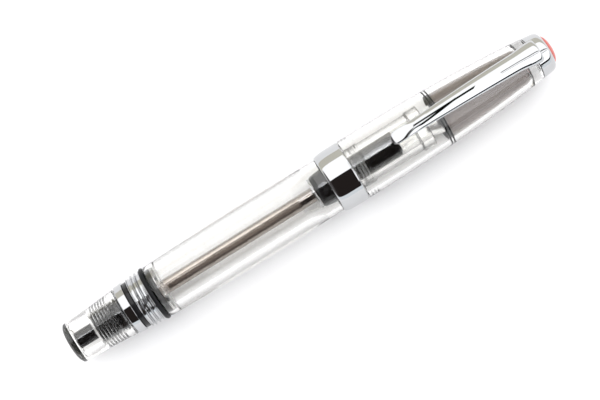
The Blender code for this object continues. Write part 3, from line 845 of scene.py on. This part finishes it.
# Dark battens across the panels: how much they slant with the lean, their middle and half width
# as shares of a turn, and the leans between which they run
BATTENS = [(0.0, 0.4347, 0.0264, 0.083, 0.26), (1.25, 0.6667, 0.033, 0.06, 0.19)]
# The tent is open beyond the knob, above this height
OPEN_END_LEAN = -0.5
OPEN_END_HEIGHT = 0.35


def make_camera():
    """Looks straight at the pen, whose axis climbs to the picture's upper right."""
    towards = Vector((0.0, -math.sin(PEN_ROLL), math.cos(PEN_ROLL)))
    across = Vector((0.0, -math.cos(PEN_ROLL), -math.sin(PEN_ROLL)))
    along = Vector((1.0, 0.0, 0.0))
    right = along * math.cos(PEN_SLANT) + across * math.sin(PEN_SLANT)
    up = along * math.sin(PEN_SLANT) - across * math.cos(PEN_SLANT)
    camera = bpy.data.objects.new("camera", bpy.data.cameras.new("camera"))
    camera.data.lens = CAMERA_LENS
    camera.data.clip_start = 0.01
    where = place(CAMERA_STATION) + (across * CAMERA_ACROSS + towards * CAMERA_HEIGHT) * MM
    turn = Matrix((right, up, towards)).transposed().to_4x4()
    camera.matrix_world = Matrix.Translation(where) @ turn
    bpy.context.scene.collection.objects.link(camera)
    bpy.context.scene.camera = camera


def make_floor():
    """A plain pale floor."""
    item = new_item("floor")
    build = bmesh.new()
    bmesh.ops.create_grid(build, x_segments=8, y_segments=8, size=3.0)
    build.to_mesh(item.data)
    build.free()
    material, tree, shader = new_material("pale_floor")
    shader.inputs["Specular IOR Level"].default_value = 0.1
    shader.inputs["Roughness"].default_value = 0.9
    grain = stretched_noise(tree, 30.0, (1.0, 1.0, 1.0))
    vary_colour(tree, shader, grain, (0.93, 0.93, 0.935), (0.95, 0.95, 0.95))
    item.data.materials.append(material)
    bpy.context.scene.collection.objects.link(item)


def sky_ramp(tree, source, stops):
    """Panels round the pen; stops are (degrees from the camera's side, colour)."""
    ramp = tree.nodes.new("ShaderNodeValToRGB")
    ramp.color_ramp.interpolation = "CONSTANT"
    elements = ramp.color_ramp.elements
    elements.remove(elements[1])
    elements[0].position = 0.0
    elements[0].color = (*stops[0][1], 1.0)
    for degrees, colour in stops[1:]:
        element = elements.new(degrees / 360 + 0.5)
        element.color = (*colour, 1.0)
    tree.links.new(source, ramp.inputs["Fac"])
    return ramp.outputs["Color"]


def mix_colours(tree, factor, first, second):
    mix = tree.nodes.new("ShaderNodeMix")
    mix.data_type = "RGBA"
    tree.links.new(factor, mix.inputs["Factor"])
    tree.links.new(first, mix.inputs["A"])
    tree.links.new(second, mix.inputs["B"])
    return mix.outputs["Result"]


def math_node(tree, operation, first, second=None):
    """A maths node whose operands are numbers or other nodes' outputs."""
    node = tree.nodes.new("ShaderNodeMath")
    node.operation = operation
    for socket, value in zip(node.inputs, (first, second)):
        if value is None:
            continue
        if isinstance(value, (int, float)):
            socket.default_value = value
        else:
            tree.links.new(value, socket)
    return node.outputs[0]


def layered_sky(tree, turn, lean, skies):
    """Lay each sky over the ones before it, from its own lean onwards."""
    sky = None
    for start, stops in skies:
        panels = sky_ramp(tree, turn, stops)
        if sky is None:
            sky = panels
            continue
        sky = mix_colours(tree, math_node(tree, "GREATER_THAN", lean, start), sky, panels)
    return sky


def plain_colour(tree, colour):
    node = tree.nodes.new("ShaderNodeRGB")
    node.outputs["Color"].default_value = (*colour, 1.0)
    return node.outputs["Color"]


def sky_direction(tree):
    """A direction's turn round the pen from 0 to 1, its lean, and its height to the camera."""
    where = tree.nodes.new("ShaderNodeTexCoord")
    roll = tree.nodes.new("ShaderNodeVectorRotate")
    roll.rotation_type = "X_AXIS"
    roll.inputs["Angle"].default_value = -PEN_ROLL
    split = tree.nodes.new("ShaderNodeSeparateXYZ")
    tree.links.new(where.outputs["Generated"], roll.inputs["Vector"])
    tree.links.new(roll.outputs["Vector"], split.inputs["Vector"])
    right_of_pen = math_node(tree, "MULTIPLY", split.outputs["Y"], -1.0)
    angle = math_node(tree, "ARCTAN2", right_of_pen, split.outputs["Z"])
    turn = math_node(tree, "ADD", math_node(tree, "DIVIDE", angle, 2 * math.pi), 0.5)
    return turn, split.outputs["X"], split.outputs["Z"]


def add_battens(tree, tent, turn, lean):
    """Lay the dark battens over the tent's panels."""
    for slant, middle, half_width, start, end in BATTENS:
        swept = math_node(tree, "MULTIPLY", lean, slant)
        off = math_node(tree, "SUBTRACT", math_node(tree, "ADD", turn, swept), middle)
        on = math_node(tree, "LESS_THAN", math_node(tree, "ABSOLUTE", off), half_width)
        for operation, limit in (("GREATER_THAN", start), ("LESS_THAN", end)):
            within = math_node(tree, operation, lean, limit)
            on = math_node(tree, "MULTIPLY", on, within)
        tent = mix_colours(tree, on, tent, plain_colour(tree, SEAM))
    return tent


def add_open_end(tree, tent, lean, height):
    """Darken the tent's open end, beyond the knob."""
    beyond = math_node(tree, "LESS_THAN", lean, OPEN_END_LEAN)
    above = math_node(tree, "GREATER_THAN", height, OPEN_END_HEIGHT)
    at_knob = math_node(tree, "MULTIPLY", beyond, above)
    return mix_colours(tree, at_knob, tent, plain_colour(tree, OPEN_END))


def tent_colours(tree, turn, lean, height, through_walls):
    """The tent's panels, with the inner set for rays that have passed through a clear wall."""
    tent = layered_sky(tree, turn, lean, OPEN_SKIES)
    tent = add_battens(tree, tent, turn, lean)
    tent = add_open_end(tree, tent, lean, height)
    inner_tent = layered_sky(tree, turn, lean, INNER_SKIES)
    inside = math_node(tree, "GREATER_THAN", through_walls, 0.5)
    return mix_colours(tree, inside, tent, inner_tent)


def make_studio():
    """A light tent: a bright bank on the left, an open dark roof and pale walls.

    Mirrors and clear parts see the tent's panels, and all else gets its soft average. The sky
    isn't sampled like a lamp, because what it shows depends on the ray that meets it.
    """
    world = bpy.data.worlds.new("studio")
    bpy.context.scene.world = world
    world.use_nodes = True
    world.cycles.sampling_method = "NONE"
    tree = world.node_tree
    path = tree.nodes.new("ShaderNodeLightPath")
    turn, lean, height = sky_direction(tree)
    tent = tent_colours(tree, turn, lean, height, path.outputs["Transmission Depth"])
    average = sky_ramp(tree, turn, AVERAGE_SKY)
    mirrored = math_node(tree, "MAXIMUM", path.outputs["Is Glossy Ray"],
                         path.outputs["Is Transmission Ray"])
    not_scattered = math_node(tree, "LESS_THAN", path.outputs["Diffuse Depth"], 0.5)
    shown = math_node(tree, "MULTIPLY", mirrored, not_scattered)
    light = mix_colours(tree, shown, average, tent)
    tree.links.new(light, tree.nodes["Background"].inputs["Color"])
    bpy.context.scene.view_settings.view_transform = "Standard"


make_camera()
make_floor()
make_studio()
make_knob()
make_mechanism()
make_rear_ring()
make_gland()
make_barrel()
make_plunger()
make_section()
make_grip_fittings()
make_feed()
make_nib()
make_nib_pellet()
make_cap()
make_band()
make_collar()
make_liner()
make_liner_seal()
make_clip()
